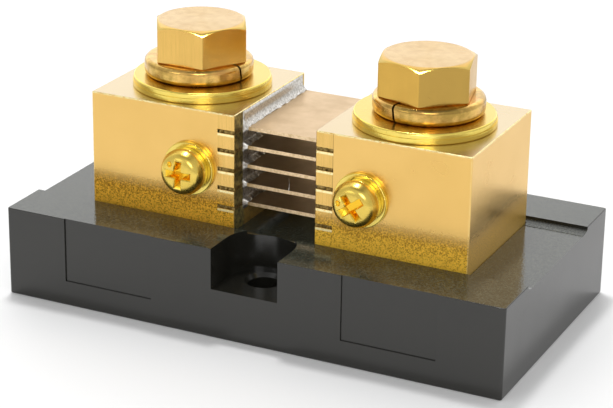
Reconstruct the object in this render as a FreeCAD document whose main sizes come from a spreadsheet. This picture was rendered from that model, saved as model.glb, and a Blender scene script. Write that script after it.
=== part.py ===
import FreeCAD, Part

import math
import os

import Sketcher
from FreeCAD import Placement, Rotation, Vector

# Battery monitor shunt: two brass terminal blocks joined by five resistor
# plates on a moulded base.  Millimetres, +Z up, origin at the middle of the
# underside, +X along the base, the sense screws face -Y.

DRIVING = {
    # how far a cutter stands past the stock
    "margin": 1.0,
    # moulded base
    "base_length": 87.0,
    "base_width": 46.1,
    "base_height": 15.15,
    "base_corner": 0.4,
    "base_edge": 0.3,
    "base_rim": 0.15,
    "channel_half": 13.6,
    "channel_drop": 0.5,
    "cove_length": 1.9,
    "floor_height": 14.22,
    "seat_depth": 0.5,
    "seat_gap": 0.1,
    "label_near": 16.7,
    "label_far": 32.65,
    "label_bottom": 4.25,
    "label_depth": 0.25,
    "notch_radius": 5.85,
    "notch_centre": 17.6,
    "notch_floor": 8.3,
    "foot_hole_y": 15.9,
    "foot_hole_radius": 2.6,
    "foot_hole_rim": 0.6,
    # terminal blocks
    "block_length": 26.07,
    "block_width": 25.3,
    "block_gap": 14.32,
    "block_top": 33.74,
    "block_edge": 0.1,
    "slot_depth": 3.0,
    "left_terminal_x": 19.9,
    "right_terminal_x": 20.25,
    "terminal_hole_radius": 5.0,
    "terminal_hole_depth": 16.6,
    "sense_hole_radius": 2.0,
    "sense_hole_depth": 7.2,
    "sense_x": 15.15,
    "sense_height": 23.7,
    # resistor plates
    "plate_thickness": 0.6,
    "plate_pitch": 3.2,
    "plate_top_height": 30.8,
    "plate_front": 9.4,
    "plate_back": 11.6,
    # solder
    "bead_leg": 0.85,
    "bead_reach": 1.0,
    "bead_wrap": 0.5,
    "bead_lip": 0.05,
    "filling_recess": 0.6,
    # terminal bolts and their washers
    "bolt_shank_radius": 4.93,
    "bolt_length": 20.0,
    "bolt_point": 0.8,
    "bolt_flats": 14.4,
    "bolt_head_height": 6.3,
    "bolt_crown_radius": 7.0,
    "bolt_crown_slope": 30.0,
    "flat_washer_radius": 11.45,
    "flat_washer_bore": 5.5,
    "flat_washer_thickness": 1.75,
    "flat_washer_step": 0.14,
    "spring_washer_radius": 8.95,
    "spring_washer_bore": 5.4,
    "spring_washer_thickness": 2.8,
    "spring_washer_round": 0.8,
    "spring_split": 0.4,
    # sense screws and their washers
    "screw_shank_radius": 1.95,
    "screw_length": 8.0,
    "screw_point": 0.4,
    "screw_head_radius": 3.8,
    "screw_head_height": 2.6,
    "screw_rim_height": 1.0,
    "screw_crown_flat": 1.2,
    "screw_crown_radius": 4.2,
    "cross_width": 1.1,
    "cross_span": 4.4,
    "cross_depth": 1.5,
    "small_flat_radius": 4.5,
    "small_bore": 2.15,
    "small_flat_thickness": 0.8,
    "small_flat_step": 0.06,
    "small_spring_radius": 3.7,
    "small_spring_thickness": 1.0,
    "small_split": 0.3,
    "small_edge": 0.15,
    # screws that hold each block from below
    "fixing_y": 8.4,
    "fixing_passage_radius": 2.25,
    "fixing_recess_radius": 4.6,
    "fixing_recess_depth": 6.4,
    "fixing_length": 14.0,
    "fixing_hole_depth": 6.2,
}

PLATE_COUNT = 5
SIDES = {"left": -1, "right": 1}
BOLT_TURN = {"left": -0.2, "right": -16.5}
SCREW_TURN = {"left": -2.0, "right": 36.0}
SPRING_TURN = {"left": -102.7, "right": 164.8}
SMALL_SPRING_TURN = {"left": 200.0, "right": 20.0}
# Where each loose washer lies from its bolt's axis, along X and Y.
FLAT_WASHER_SHIFT = {"left": (0.3, -0.1), "right": (0.0, -0.5)}
SPRING_WASHER_SHIFT = {"left": (-0.4, 0.0), "right": (0.35, 0.1)}

# Frames of the screwed pieces: their own +Z points out of the block.
UP = Rotation(Vector(0, 0, 1), 0)
FORWARD = Rotation(Vector(1, 0, 0), 90)
DOWN = Rotation(Vector(1, 0, 0), 180)

doc = FreeCAD.newDocument("battery_monitor_shunt")
sheet = doc.addObject("Spreadsheet::Sheet", "dim")
for row, (alias, number) in enumerate(DRIVING.items(), start=1):
    sheet.set(f"A{row}", alias)
    sheet.set(f"B{row}", str(number))
    sheet.setAlias(f"B{row}", alias)
doc.recompute()

subparts = []


# ---- helpers -------------------------------------------------------------

def value(expression):
    """Number that an expression on the dimension sheet gives."""
    return float(sheet.evalExpression(expression))


def new_body(name):
    """Empty body that becomes one sub-part."""
    body = doc.addObject("PartDesign::Body", name)
    subparts.append(body)
    return body


def place(subpart, x, y, z, rotation=UP, turn=0.0):
    """Put a sub-part at expressions x, y, z, turned about its own axis first."""
    spin = Rotation(Vector(0, 0, 1), turn)
    subpart.Placement = Placement(Vector(0, 0, 0), rotation.multiply(spin))
    for axis, expression in zip("xyz", (x, y, z)):
        subpart.setExpression(f"Placement.Base.{axis}", expression)


def new_sketch(body, plane="XY_Plane", offset="0"):
    """Sketch on one of the body's origin planes, moved along its normal."""
    sketch = body.newObject("Sketcher::SketchObject", f"{body.Name}_sketch")
    support = next(f for f in body.Origin.OriginFeatures if f.Role == plane)
    sketch.AttachmentSupport = [(support, "")]
    sketch.MapMode = "FlatFace"
    sketch.setExpression(".AttachmentOffset.Base.z", offset)
    return sketch


def drive(sketch, kind, arguments, expression):
    """Add one dimension to a sketch and bind it to the sheet."""
    number = value(expression)
    index = sketch.addConstraint(Sketcher.Constraint(kind, *arguments, number))
    sketch.setExpression(f"Constraints[{index}]", expression)


def fix_point(sketch, edge, end, x, y):
    """Hold one end of an edge at expressions x, y from the sketch origin."""
    drive(sketch, "DistanceX", (-1, 1, edge, end), x)
    drive(sketch, "DistanceY", (-1, 1, edge, end), y)


def outline(sketch, corners, arcs=None):
    """Closed outline through corner expressions.

    arcs maps the number of an edge to the radius expression of the arc that
    replaces it; the arc's centre lies on the left of the edge.
    """
    arcs = arcs or {}
    points = [Vector(value(x), value(y), 0) for x, y in corners]
    count = len(points)
    for i, start in enumerate(points):
        end = points[(i + 1) % count]
        if i not in arcs:
            sketch.addGeometry(Part.LineSegment(start, end))
            continue
        radius = value(arcs[i])
        chord = end - start
        rise = math.sqrt(radius ** 2 - (chord.Length / 2) ** 2)
        normal = Vector(-chord.y, chord.x, 0).normalize()
        centre = (start + end) / 2 + normal * rise
        first = math.atan2(start.y - centre.y, start.x - centre.x)
        last = math.atan2(end.y - centre.y, end.x - centre.x)
        circle = Part.Circle(centre, Vector(0, 0, 1), radius)
        sketch.addGeometry(Part.ArcOfCircle(circle, first, last))
    for i, (x, y) in enumerate(corners):
        sketch.addConstraint(Sketcher.Constraint("Coincident", i, 2, (i + 1) % count, 1))
        fix_point(sketch, i, 1, x, y)
    for i, radius in arcs.items():
        drive(sketch, "Radius", (i,), radius)


def rectangle(sketch, x0, x1, y0, y1):
    """Rectangle between expressions along the sketch's two axes."""
    outline(sketch, [(x0, y0), (x1, y0), (x1, y1), (x0, y1)])


def circle(sketch, radius, x="0", y="0"):
    """Circle of a given radius with its centre at expressions x, y."""
    centre = Vector(value(x), value(y), 0)
    edge = sketch.addGeometry(Part.Circle(centre, Vector(0, 0, 1), value(radius)))
    fix_point(sketch, edge, 3, x, y)
    drive(sketch, "Radius", (edge,), radius)


def pad(body, sketch, length):
    """Raise a sketch by a length."""
    feature = body.newObject("PartDesign::Pad", f"{body.Name}_pad")
    feature.Profile = sketch
    feature.setExpression("Length", length)
    return feature


def pocket(body, sketch, length, upward=False, both_ways=False):
    """Cut a sketch to a length, against its normal unless upward is set."""
    feature = body.newObject("PartDesign::Pocket", f"{body.Name}_pocket")
    feature.Profile = sketch
    feature.Reversed = upward
    if both_ways:
        feature.SideType = "Symmetric"
    feature.setExpression("Length", length)
    return feature


def revolve(body, sketch):
    """Turn a sketch round its own vertical axis."""
    feature = body.newObject("PartDesign::Revolution", f"{body.Name}_turned")
    feature.Profile = sketch
    feature.ReferenceAxis = (sketch, ["V_Axis"])
    feature.Angle = 360
    return feature


def edges_where(feature, test):
    """Names of the feature's edges whose bounding box passes a test."""
    doc.recompute()
    edges = feature.Shape.Edges
    return [f"Edge{i}" for i, edge in enumerate(edges, start=1) if test(edge.BoundBox)]


def dress(body, kind, feature, size, test):
    """Fillet or chamfer, by a size expression, the edges that pass a test."""
    names = edges_where(feature, test)
    if not names:
        raise RuntimeError(f"{body.Name}: no edge to dress")
    dressing = body.newObject(f"PartDesign::{kind}", f"{body.Name}_{kind.lower()}")
    dressing.Base = (feature, names)
    dressing.setExpression("Radius" if kind == "Fillet" else "Size", size)
    body.Tip = dressing
    return dressing


def near(a, b):
    """True when two lengths agree within a hundredth of a millimetre."""
    return abs(a - b) < 0.01


# ---- moulded base --------------------------------------------------------

def make_base():
    """Moulded base: channel, block seats, label recesses, notches and holes."""
    body = new_body("base")
    sketch = new_sketch(body)
    half_x = "dim.base_length / 2"
    half_y = "dim.base_width / 2"
    rectangle(sketch, f"-{half_x}", half_x, f"-{half_y}", half_y)
    feature = pad(body, sketch, "dim.base_height")
    feature = dress(body, "Fillet", feature, "dim.base_corner",
                    lambda box: near(box.ZLength, value("dim.base_height")))
    feature = dress(body, "Fillet", feature, "dim.base_edge", lambda box: near(box.ZMax, 0))
    top = value("dim.base_height")
    feature = dress(body, "Fillet", feature, "dim.base_rim",
                    lambda box: near(box.ZMin, top) and near(box.ZMax, top))

    cut_channel(body)
    for side in SIDES.values():
        cut_seat(body, side)
        cut_label(body, side)
    for end in (-1, 1):
        cut_notch(body, end)
    for side in SIDES.values():
        for end in (-1, 1):
            cut_fixing_hole(body, side, end)


def cut_channel(body):
    """Long channel between the two strips, with a cove at each foot."""
    sketch = new_sketch(body, "YZ_Plane")
    lip = "dim.channel_half"
    foot = f"{lip} - dim.cove_length"
    above = "dim.base_height + dim.margin"
    knee = "dim.base_height - dim.channel_drop"
    drop = "(dim.base_height - dim.channel_drop - dim.floor_height)"
    radius = f"(dim.cove_length^2 + {drop}^2) / (2 * {drop})"
    corners = [
        (f"-{lip}", above), (f"-{lip}", knee), (f"-({foot})", "dim.floor_height"),
        (foot, "dim.floor_height"), (lip, knee), (lip, above),
    ]
    outline(sketch, corners, {1: radius, 3: radius})
    pocket(body, sketch, "dim.base_length + 2 * dim.margin", both_ways=True)


def cut_seat(body, side):
    """Shallow pocket that a terminal block sits in."""
    sketch = new_sketch(body, offset="dim.base_height + dim.margin")
    near_x = "dim.block_gap / 2 - dim.seat_gap"
    far_x = "dim.block_gap / 2 + dim.block_length + dim.seat_gap"
    half_y = "dim.block_width / 2 + dim.seat_gap"
    rectangle(sketch, f"{side} * ({near_x})", f"{side} * ({far_x})", f"-({half_y})", half_y)
    pocket(body, sketch, "dim.base_height + dim.margin - dim.floor_height + dim.seat_depth")


def cut_label(body, side):
    """Recess for a label on the front face, open at the top edge."""
    sketch = new_sketch(body, "XZ_Plane", "dim.base_width / 2 + dim.margin")
    rectangle(sketch, f"{side} * dim.label_near", f"{side} * dim.label_far",
              "dim.label_bottom", "dim.base_height + dim.margin")
    pocket(body, sketch, "dim.label_depth + dim.margin")


def cut_notch(body, end):
    """Notch in a long edge with a mounting hole through its floor."""
    depth = "dim.base_height - dim.notch_floor + dim.margin"
    outer = f"{end} * (dim.base_width / 2 + dim.margin)"
    straight = new_sketch(body, offset="dim.base_height + dim.margin")
    rectangle(straight, "-dim.notch_radius", "dim.notch_radius", outer, f"{end} * dim.notch_centre")
    pocket(body, straight, depth)
    rounded = new_sketch(body, offset="dim.base_height + dim.margin")
    circle(rounded, "dim.notch_radius", y=f"{end} * dim.notch_centre")
    pocket(body, rounded, depth)
    hole = new_sketch(body, offset="dim.notch_floor + dim.margin")
    circle(hole, "dim.foot_hole_radius", y=f"{end} * dim.foot_hole_y")
    feature = pocket(body, hole, "dim.notch_floor + 2 * dim.margin")
    floor = value("dim.notch_floor")
    bore = value("dim.foot_hole_radius")
    dress(body, "Chamfer", feature, "dim.foot_hole_rim",
          lambda box: near(box.ZMin, floor) and near(box.ZMax, floor)
          and near(box.XLength, 2 * bore) and box.YMin * end > 0)


def cut_fixing_hole(body, side, end):
    """Stepped hole from below for one of a block's fixing screws."""
    x = f"{side} * (dim.block_gap + dim.block_length) / 2"
    y = f"{end} * dim.fixing_y"
    recess = new_sketch(body, offset="-dim.margin")
    circle(recess, "dim.fixing_recess_radius", x, y)
    pocket(body, recess, "dim.fixing_recess_depth + dim.margin", upward=True)
    passage = new_sketch(body, offset="-dim.margin")
    circle(passage, "dim.fixing_passage_radius", x, y)
    pocket(body, passage, "dim.floor_height + dim.margin", upward=True)


# ---- terminal blocks and resistor plates ---------------------------------

BLOCK_X = "(dim.block_gap + dim.block_length) / 2"
BLOCK_BOTTOM = "(dim.floor_height - dim.seat_depth)"


def plate_height(number):
    """Expression for the middle height of a plate; number 0 is the top one."""
    return f"dim.plate_top_height - {number} * dim.plate_pitch"


def make_block(name, side):
    """Brass block: five slots, the terminal hole, sense hole and fixing holes."""
    body = new_body(f"{name}_block")
    outer = f"{side} * (dim.block_gap / 2 + dim.block_length)"
    inner = f"{side} * dim.block_gap / 2"
    half_y = "dim.block_width / 2"
    sketch = new_sketch(body, offset=BLOCK_BOTTOM)
    rectangle(sketch, outer, inner, f"-{half_y}", half_y)
    feature = pad(body, sketch, f"dim.block_top - {BLOCK_BOTTOM}")
    dress(body, "Chamfer", feature, "dim.block_edge", lambda box: True)

    for number in range(PLATE_COUNT):
        slot = new_sketch(body, "XZ_Plane")
        middle = plate_height(number)
        rectangle(slot, f"{side} * (dim.block_gap / 2 - dim.margin)",
                  f"{side} * (dim.block_gap / 2 + dim.slot_depth)",
                  f"{middle} - dim.plate_thickness / 2", f"{middle} + dim.plate_thickness / 2")
        pocket(body, slot, "dim.block_width + 2 * dim.margin", both_ways=True)

    terminal = new_sketch(body, offset="dim.block_top + dim.margin")
    circle(terminal, "dim.terminal_hole_radius", f"{side} * dim.{name}_terminal_x")
    pocket(body, terminal, "dim.terminal_hole_depth + dim.margin")
    sense = new_sketch(body, "XZ_Plane", "dim.block_width / 2 + dim.margin")
    circle(sense, "dim.sense_hole_radius", f"{side} * dim.sense_x", "dim.sense_height")
    pocket(body, sense, "dim.sense_hole_depth + dim.margin")
    for end in (-1, 1):
        fixing = new_sketch(body, offset=f"{BLOCK_BOTTOM} - dim.margin")
        circle(fixing, "dim.sense_hole_radius", f"{side} * {BLOCK_X}", f"{end} * dim.fixing_y")
        pocket(body, fixing, "dim.fixing_hole_depth + dim.margin", upward=True)


def make_plate(number):
    """Resistor plate, its two ends housed in the blocks' slots."""
    body = new_body(f"resistor_plate_{number + 1}")
    reach = "dim.block_gap / 2 + dim.slot_depth"
    sketch = new_sketch(body, offset="-dim.plate_thickness / 2")
    rectangle(sketch, f"-({reach})", reach, "-dim.plate_front", "dim.plate_back")
    pad(body, sketch, "dim.plate_thickness")
    place(body, "0", "0", plate_height(number))


def make_solder(name, side):
    """Solder of one block: a filled slot end and a bead round every plate."""
    joints = [make_solder_joint(f"{name}_{number + 1}", side, number) for number in range(PLATE_COUNT)]
    group = doc.addObject("Part::Compound", f"{name}_solder")
    group.Links = joints
    subparts.append(group)


def make_solder_joint(name, side, number):
    """Bead along one plate's root, joined to the filling of the slot's front."""
    middle = plate_height(number)
    inner = "dim.block_gap / 2"
    root = "(dim.plate_thickness / 2 + dim.bead_leg)"
    lip = "(dim.plate_thickness / 2 + dim.bead_lip)"
    plate_width = "(dim.plate_front + dim.plate_back)"
    bead = doc.addObject("Part::Wedge", f"bead_{name}")
    wedge = {
        "Xmin": f"-{root}", "Xmax": root, "Ymin": "0", "Ymax": "dim.bead_reach",
        "Zmin": "0", "Zmax": f"{plate_width} + 2 * dim.bead_wrap",
        "X2min": f"-{lip}", "X2max": lip, "Z2min": "dim.bead_wrap - dim.bead_lip",
        "Z2max": f"{plate_width} + dim.bead_wrap + dim.bead_lip",
    }
    for size, expression in wedge.items():
        bead.setExpression(size, expression)
    # The wedge narrows along its own Y, which points from the block to the gap.
    inward = Rotation(Vector(0, 0, 1), Vector(-side, 0, 0), Vector(0, 1, 0), "ZYX")
    bead.Placement = Placement(Vector(0, 0, 0), inward)
    bead.setExpression("Placement.Base.x", f"{side} * {inner}")
    bead.setExpression("Placement.Base.y", "-dim.plate_front - dim.bead_wrap")
    bead.setExpression("Placement.Base.z", middle)

    filling = doc.addObject("Part::Box", f"filling_{name}")
    filling.setExpression("Length", "dim.slot_depth")
    filling.setExpression("Width", "dim.block_width / 2 - dim.filling_recess - dim.plate_front")
    filling.setExpression("Height", "dim.plate_thickness")
    low_x = f"{side} * {inner}" if side > 0 else f"-{inner} - dim.slot_depth"
    filling.setExpression("Placement.Base.x", low_x)
    filling.setExpression("Placement.Base.y", "dim.filling_recess - dim.block_width / 2")
    filling.setExpression("Placement.Base.z", f"{middle} - dim.plate_thickness / 2")

    plate = doc.addObject("Part::Box", f"plate_space_{name}")
    plate.setExpression("Length", "dim.block_gap + 2 * dim.slot_depth")
    plate.setExpression("Width", plate_width)
    plate.setExpression("Height", "dim.plate_thickness")
    plate.setExpression("Placement.Base.x", f"-{inner} - dim.slot_depth")
    plate.setExpression("Placement.Base.y", "-dim.plate_front")
    plate.setExpression("Placement.Base.z", f"{middle} - dim.plate_thickness / 2")

    whole = doc.addObject("Part::Fuse", f"solder_whole_{name}")
    whole.Base = bead
    whole.Tool = filling
    joint = doc.addObject("Part::Cut", f"solder_joint_{name}")
    joint.Base = whole
    joint.Tool = plate
    return joint


# ---- bolts, screws and washers -------------------------------------------

def stamped_washer(body, radius, bore, thickness, step):
    """Flat washer: a rim rolled over at the top and wider where the metal tore."""
    sketch = new_sketch(body, "XZ_Plane")
    upper = f"{radius} - {step}"
    outline(sketch, [
        (bore, "0"), (f"{radius} - {step}", "0"), (radius, step), (radius, f"{thickness} / 2"),
        (upper, f"{thickness} / 2"), (upper, f"{thickness} - 2 * {step}"),
        (f"{upper} - 2 * {step}", thickness), (bore, thickness),
    ], {5: f"2 * {step}"})
    revolve(body, sketch)


def split_washer(body, radius, bore, thickness, gap, rounding):
    """Spring lock washer: a ring with rounded rims and a slanted split."""
    ring = new_sketch(body, "XZ_Plane")
    outline(ring, [
        (bore, "0"), (f"{radius} - {rounding}", "0"), (radius, rounding),
        (radius, f"{thickness} - {rounding}"), (f"{radius} - {rounding}", thickness), (bore, thickness),
    ], {1: rounding, 3: rounding})
    revolve(body, ring)
    split = new_sketch(body, "XZ_Plane")
    lean = f"{thickness} / 8"
    outline(split, [
        (f"-{gap} / 2 - {lean}", "-dim.margin"), (f"{gap} / 2 - {lean}", "-dim.margin"),
        (f"{gap} / 2 + {lean}", f"{thickness} + dim.margin"),
        (f"-{gap} / 2 + {lean}", f"{thickness} + dim.margin"),
    ])
    pocket(body, split, f"{radius} + dim.margin")


def make_terminal_bolt(name, side):
    """Hexagon bolt that clamps a cable lug to the block."""
    x = f"{side} * dim.{name}_terminal_x"
    seat = "dim.block_top + dim.flat_washer_thickness + dim.spring_washer_thickness"
    body = new_body(f"{name}_terminal_bolt")
    sketch = new_sketch(body)
    corner = "dim.bolt_flats / sqrt(3)"
    hexagon = [(f"{corner} * cos({60 * k} deg)", f"{corner} * sin({60 * k} deg)") for k in range(6)]
    outline(sketch, hexagon)
    pad(body, sketch, "dim.bolt_head_height")
    cut_crown(body, corner)
    shank = new_sketch(body, "XZ_Plane")
    outline(shank, [
        ("0", "0"), ("0", "-dim.bolt_length"),
        ("dim.bolt_shank_radius - dim.bolt_point", "-dim.bolt_length"),
        ("dim.bolt_shank_radius", "dim.bolt_point - dim.bolt_length"),
        ("dim.bolt_shank_radius", "0"),
    ])
    revolve(body, shank)
    place(body, x, "0", seat, turn=BOLT_TURN[name])


def cut_crown(body, corner):
    """Cone that trims the six top corners of a bolt's head."""
    sketch = new_sketch(body, "XZ_Plane")
    height = "dim.bolt_head_height"
    far = f"({corner} + dim.margin)"
    outline(sketch, [
        ("dim.bolt_crown_radius", height), (far, height),
        (far, f"{height} - ({far} - dim.bolt_crown_radius) * tan(dim.bolt_crown_slope * 1 deg)"),
    ])
    groove = body.newObject("PartDesign::Groove", f"{body.Name}_crown")
    groove.Profile = sketch
    groove.ReferenceAxis = (sketch, ["V_Axis"])
    groove.Angle = 360


def make_bolt_washers(name, side):
    """Flat washer and spring washer under a terminal bolt."""
    x = f"{side} * dim.{name}_terminal_x"
    flat = new_body(f"{name}_flat_washer")
    stamped_washer(flat, "dim.flat_washer_radius", "dim.flat_washer_bore",
                   "dim.flat_washer_thickness", "dim.flat_washer_step")
    along, across = FLAT_WASHER_SHIFT[name]
    place(flat, f"{x} + {along}", f"{across}", "dim.block_top")
    spring = new_body(f"{name}_spring_washer")
    split_washer(spring, "dim.spring_washer_radius", "dim.spring_washer_bore",
                 "dim.spring_washer_thickness", "dim.spring_split", "dim.spring_washer_round")
    along, across = SPRING_WASHER_SHIFT[name]
    place(spring, f"{x} + {along}", f"{across}", "dim.block_top + dim.flat_washer_thickness",
          turn=SPRING_TURN[name])


def pan_screw(body, length):
    """Pan-head screw with a cross recess; its head sits on the XY plane."""
    sketch = new_sketch(body, "XZ_Plane")
    rim = "dim.screw_head_radius"
    height = "dim.screw_head_height"
    outline(sketch, [
        ("0", height), ("0", f"-({length})"),
        ("dim.screw_shank_radius - dim.screw_point", f"-({length})"),
        ("dim.screw_shank_radius", f"dim.screw_point - ({length})"),
        ("dim.screw_shank_radius", "0"), (f"{rim} - dim.small_edge", "0"),
        (rim, "dim.small_edge"), (rim, "dim.screw_rim_height"), ("dim.screw_crown_flat", height),
    ], {7: "dim.screw_crown_radius"})
    revolve(body, sketch)
    for along, across in (("dim.cross_span", "dim.cross_width"), ("dim.cross_width", "dim.cross_span")):
        arm = new_sketch(body, offset=height)
        rectangle(arm, f"-{along} / 2", f"{along} / 2", f"-{across} / 2", f"{across} / 2")
        pocket(body, arm, "dim.cross_depth")


def make_sense_fasteners(name, side):
    """Sense-wire screw with its spring washer and flat washer."""
    x = f"{side} * dim.sense_x"
    face = "-dim.block_width / 2"
    flat = new_body(f"{name}_sense_flat_washer")
    stamped_washer(flat, "dim.small_flat_radius", "dim.small_bore",
                   "dim.small_flat_thickness", "dim.small_flat_step")
    place(flat, x, face, "dim.sense_height", FORWARD)
    spring = new_body(f"{name}_sense_spring_washer")
    split_washer(spring, "dim.small_spring_radius", "dim.small_bore",
                 "dim.small_spring_thickness", "dim.small_split", "dim.small_edge")
    place(spring, x, f"{face} - dim.small_flat_thickness", "dim.sense_height", FORWARD,
          SMALL_SPRING_TURN[name])
    screw = new_body(f"{name}_sense_screw")
    pan_screw(screw, "dim.screw_length")
    place(screw, x, f"{face} - dim.small_flat_thickness - dim.small_spring_thickness",
          "dim.sense_height", FORWARD, SCREW_TURN[name])


def make_fixing_group(name, side):
    """The two screws, each with a spring washer, that hold a block from below."""
    x = f"{side} * {BLOCK_X}"
    for kind in ("screws", "washers"):
        pieces = [make_fixing_piece(name, kind, x, end) for end in (-1, 1)]
        group = doc.addObject("Part::Compound", f"{name}_block_fixing_{kind}")
        group.Links = pieces
        subparts.append(group)


def make_fixing_piece(name, kind, x, end):
    """One fixing screw, or the spring washer under its head."""
    body = new_body(f"{name}_fixing_{kind}_{'front' if end < 0 else 'back'}")
    subparts.remove(body)
    z = "dim.fixing_recess_depth"
    if kind == "screws":
        pan_screw(body, "dim.fixing_length")
        z = "dim.fixing_recess_depth - dim.small_spring_thickness"
    else:
        split_washer(body, "dim.small_spring_radius", "dim.small_bore",
                     "dim.small_spring_thickness", "dim.small_split", "dim.small_edge")
    place(body, x, f"{end} * dim.fixing_y", z, DOWN)
    return body


# ---- the whole shunt -----------------------------------------------------

make_base()
for side_name, side_sign in SIDES.items():
    make_block(side_name, side_sign)
    make_solder(side_name, side_sign)
    make_terminal_bolt(side_name, side_sign)
    make_bolt_washers(side_name, side_sign)
    make_sense_fasteners(side_name, side_sign)
    make_fixing_group(side_name, side_sign)
for plate_number in range(PLATE_COUNT):
    make_plate(plate_number)
doc.recompute()

for item in doc.Objects:
    if "Invalid" in item.State or "Error" in item.State:
        raise RuntimeError(f"{item.Name} failed: {item.State}")
os.makedirs("parts", exist_ok=True)
for subpart in subparts:
    if subpart.Shape.isNull() or not subpart.Shape.isValid():
        raise RuntimeError(f"{subpart.Label} has no valid shape")
    subpart.Shape.exportStep(f"parts/{subpart.Label}.step")
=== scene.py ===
import math

import bmesh
import bpy
from mathutils import Matrix, Vector, noise


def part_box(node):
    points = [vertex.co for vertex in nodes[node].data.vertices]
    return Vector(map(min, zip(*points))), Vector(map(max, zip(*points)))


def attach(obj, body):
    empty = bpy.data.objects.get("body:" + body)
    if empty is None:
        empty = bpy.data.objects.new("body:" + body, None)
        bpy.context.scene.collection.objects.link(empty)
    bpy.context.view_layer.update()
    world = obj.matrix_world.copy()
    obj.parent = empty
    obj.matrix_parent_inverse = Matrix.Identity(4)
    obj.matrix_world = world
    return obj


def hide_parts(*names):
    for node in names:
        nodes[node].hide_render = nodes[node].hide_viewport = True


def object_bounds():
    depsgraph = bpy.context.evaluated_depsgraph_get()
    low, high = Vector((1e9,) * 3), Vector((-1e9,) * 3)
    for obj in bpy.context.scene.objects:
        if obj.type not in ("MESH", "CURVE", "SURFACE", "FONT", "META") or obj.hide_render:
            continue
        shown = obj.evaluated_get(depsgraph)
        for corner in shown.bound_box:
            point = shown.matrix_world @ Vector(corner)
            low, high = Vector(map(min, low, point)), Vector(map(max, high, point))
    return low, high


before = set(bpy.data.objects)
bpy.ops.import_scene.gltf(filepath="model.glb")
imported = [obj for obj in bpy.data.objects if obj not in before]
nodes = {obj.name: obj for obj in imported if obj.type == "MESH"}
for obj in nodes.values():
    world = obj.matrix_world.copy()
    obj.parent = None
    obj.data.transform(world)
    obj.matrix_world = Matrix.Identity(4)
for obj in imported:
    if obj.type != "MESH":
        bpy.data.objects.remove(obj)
cad_low, cad_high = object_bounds()

MM = 0.001
SIDES = {"left": -1, "right": 1}
PLATE_COUNT = 5

# Terminal bolts, in millimetres and degrees.
BOLT_FLATS = 14.4
BOLT_CORNER_WEAR = 0.04
BOLT_CROWN_RADIUS = 7.0
BOLT_CROWN_SLOPE = 30.0
BOLT_HEAD_HEIGHT = 6.3
BOLT_SHANK_RADIUS = 4.93
BOLT_LENGTH = 20.0
BOLT_PITCH = 1.5
BOLT_THREAD_DEPTH = 0.92
BOLT_TURN = {"left": -0.2, "right": -16.5}
# Turn of the bolt flat that gets painted shade.
BOLT_SHADED_FLAT = -30.0

# Sense screws, in millimetres and degrees.
SCREW_HEAD_RADIUS = 3.8
SCREW_HEAD_HEIGHT = 2.6
SCREW_SHOULDER = 1.05
SCREW_SHANK_RADIUS = 1.95
SCREW_LENGTH = 8.0
SCREW_PITCH = 0.7
SCREW_THREAD_DEPTH = 0.42
SCREW_TURN = {"left": -2.0, "right": 36.0}
CROSS_TURNS = (0.3, 90.3)
CROSS_RADIUS = 2.45
DIMPLE_RADIUS = 0.46
DIMPLE_PLACE = (-1.5, 1.62)

# Faces and marks of the terminal blocks, in millimetres from the middle of the shunt's underside.
BLOCK_INNER_X = 7.16
SLOT_END_X = 10.16
SCRIBE_X = 10.06
SCRIBE_WIDTH = 0.1
BLOCK_OUTER_X = 33.23
BLOCK_TOP_Z = 33.74
BLOCK_ROUNDING = 0.16
# Heights over which the painted reflection at the foot of the blocks fades out upward.
PAINTED_FOOT_FADE_Z = (18.4, 20.6)

# Resistor plates and their solder, in millimetres.
PLATE_HALF = 0.3
SOLDER_BACK = 0.05
FILLING_RECESS = 0.30
SPIKE_X = 0.85

# The base's upper faces lie above this height, in millimetres, and the notch floors below it.
DECK_Z = 12.0

# Radiance of the tent in front and low behind the object, and the share of it left overhead.
TENT_FRONT = 0.7
TENT_BACK = 1.6
TENT_ROOF = 0.35
TENT_BRIGHTEST = (-0.43, 0.81, 0.40)


# ---- mesh helpers --------------------------------------------------------

def add_object(name, bm, material, smooth_angle=35.0):
    """Object from a bmesh made in millimetres, shaded smooth up to an angle."""
    bmesh.ops.recalc_face_normals(bm, faces=bm.faces)
    for vertex in bm.verts:
        vertex.co *= MM
    limit = math.radians(smooth_angle)
    for face in bm.faces:
        face.smooth = True
    for edge in bm.edges:
        if len(edge.link_faces) == 2:
            edge.smooth = edge.calc_face_angle(0.0) < limit
    mesh = bpy.data.meshes.new(name)
    bm.to_mesh(mesh)
    bm.free()
    mesh.materials.append(material)
    obj = bpy.data.objects.new(name, mesh)
    bpy.context.scene.collection.objects.link(obj)
    return obj


def stack_rings(bm, rings, top_centre, bottom_centre):
    """Closed skin through rings of equal point counts, with a fan at each end."""
    rows = [[bm.verts.new(point) for point in ring] for ring in rings]
    count = len(rows[0])
    for upper, lower in zip(rows, rows[1:]):
        for i in range(count):
            j = (i + 1) % count
            bm.faces.new((upper[i], lower[i], lower[j], upper[j]))
    for row, centre in ((rows[0], top_centre), (rows[-1], bottom_centre)):
        hub = bm.verts.new(centre)
        for i in range(count):
            bm.faces.new((row[i], row[(i + 1) % count], hub))


def circle_ring(radius, z, count):
    """Ring of points at one radius and height."""
    step = 2 * math.pi / count
    return [(radius * math.cos(i * step), radius * math.sin(i * step), z) for i in range(count)]


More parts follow.
